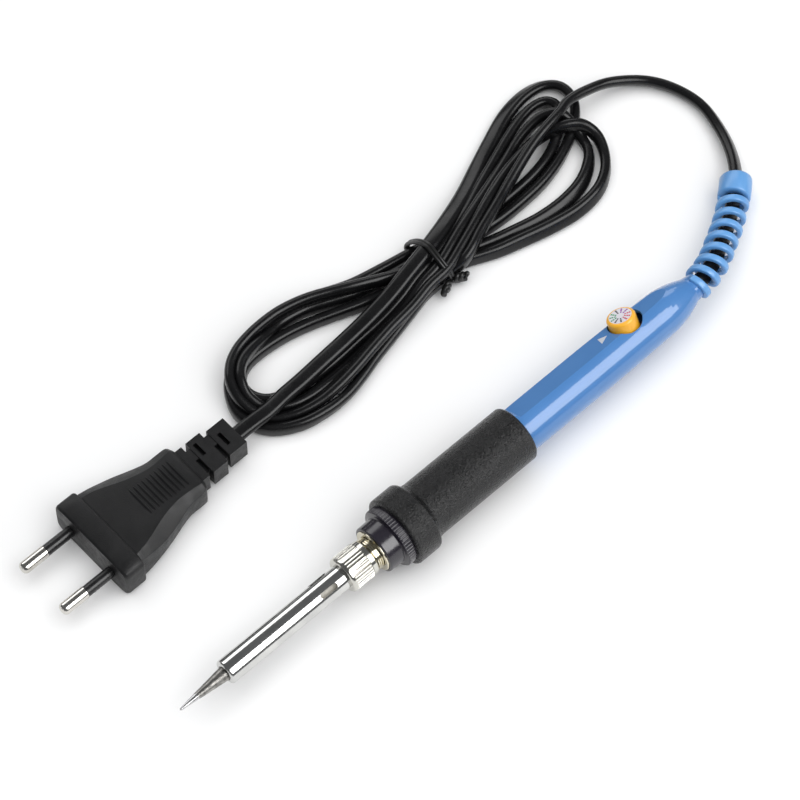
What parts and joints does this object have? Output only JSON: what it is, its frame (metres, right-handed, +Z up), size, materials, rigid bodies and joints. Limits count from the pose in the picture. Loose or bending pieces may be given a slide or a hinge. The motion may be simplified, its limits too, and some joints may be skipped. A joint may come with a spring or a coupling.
{
  "type": "soldering iron",
  "caption": "Pencil soldering iron with conical tip, rubber grip, temperature dial in a slim handle, spiral strain relief, and a flat mains lead tied in a hank with a two-pin plug.",
  "frame": {"origin": "on the bench under the middle of the iron, measured from the tip's point to the end of the handle's neck", "axes": "+X along the iron from the tip to the cord, +Y towards the hank and the plug, +Z up from the bench"},
  "size_m": [0.2646, 0.1055, 0.023],
  "materials": {
    "tip_plate": "plated, satin with a tinned point",
    "sleeve_steel": "polished stainless",
    "nut_nickel": "bright nickel plate",
    "ceramic_rod": "matt alumina",
    "ceramic_white": "matt alumina",
    "lead_wire": "bare nickel wire",
    "glass_sleeving": "woven glass fibre",
    "neck_nickel": "bright nickel plate",
    "collar_black": "semi-gloss moulded bakelite",
    "grip_rubber": "matt, fine pebble grain",
    "handle_blue": "glossy moulded plastic",
    "board_green": "solder mask over glass epoxy",
    "pot_body": "moulded",
    "shaft_white": "moulded",
    "dial_yellow": "glossy moulded",
    "dial_face": "printed disc",
    "chip_black": "moulded epoxy",
    "capacitor_red": "dipped epoxy",
    "resistor_tan": "lacquered",
    "diode_blue": "glass body, painted",
    "diode_black": "moulded epoxy",
    "wire_brown": "PVC insulation",
    "nylon_white": "nylon",
    "relief_blue": "soft glossy PVC",
    "cord_black": "semi-gloss PVC",
    "tie_black": "plastic-coated wire",
    "plug_black": "satin moulded PVC",
    "pin_nickel": "nickel-plated brass",
    "pin_sleeve_black": "glossy moulded"
  },
  "bodies": {
    "handle": {"heater_core": "ceramic_rod", "heater_flange": "ceramic_white", "heater_leads": "lead_wire", "lead_sleeving": "glass_sleeving", "threaded_neck": "neck_nickel", "front_collar": "collar_black", "rubber_grip": "grip_rubber", "handle_shell": "handle_blue", "circuit_board": "board_green", "potentiometer": "pot_body", "triac": "chip_black", "film_capacitor": "capacitor_red", "resistors": "resistor_tan", "trigger_diode": "diode_blue", "rectifier_diode": "diode_black", "mains_wires": "wire_brown", "cord_anchor": "nylon_white", "strain_relief": "relief_blue", "cord_lead": "cord_black", "cord_hank": "cord_black", "twist_tie": "tie_black", "cord_tail": "cord_black", "plug_body": "plug_black", "plug_relief": "plug_black", "plug_pins": "pin_nickel", "pin_sleeves": "pin_sleeve_black"},
    "barrel": {"barrel_sleeve": "sleeve_steel", "tip": "tip_plate"},
    "nut": {"barrel_nut": "nut_nickel"},
    "dial": {"dial_shaft": "shaft_white", "dial_knob": "dial_yellow", "dial_plate": "dial_face"}
  },
  "joints": [
    {"name": "nut_turn", "type": "hinge", "parent": "barrel", "child": "nut", "pos_m": [-0.0367, 0, 0.0115], "axis": [-1, 0, 0], "range_deg": [0, 1800]},
    {"name": "barrel_slide", "type": "slide", "parent": "handle", "child": "barrel", "axis": [-1, 0, 0], "range_m": [0, 0.005]},
    {"name": "dial_turn", "type": "hinge", "parent": "handle", "child": "dial", "pos_m": [0.075, 0, 0.0115], "axis": [0, 0.5, 0.866], "range_deg": [-140, 140]}
  ],
  "couplings": [
    {"joint": "barrel_slide", "follows": "nut_turn", "m_per_rad": 0.00015915}
  ]
}
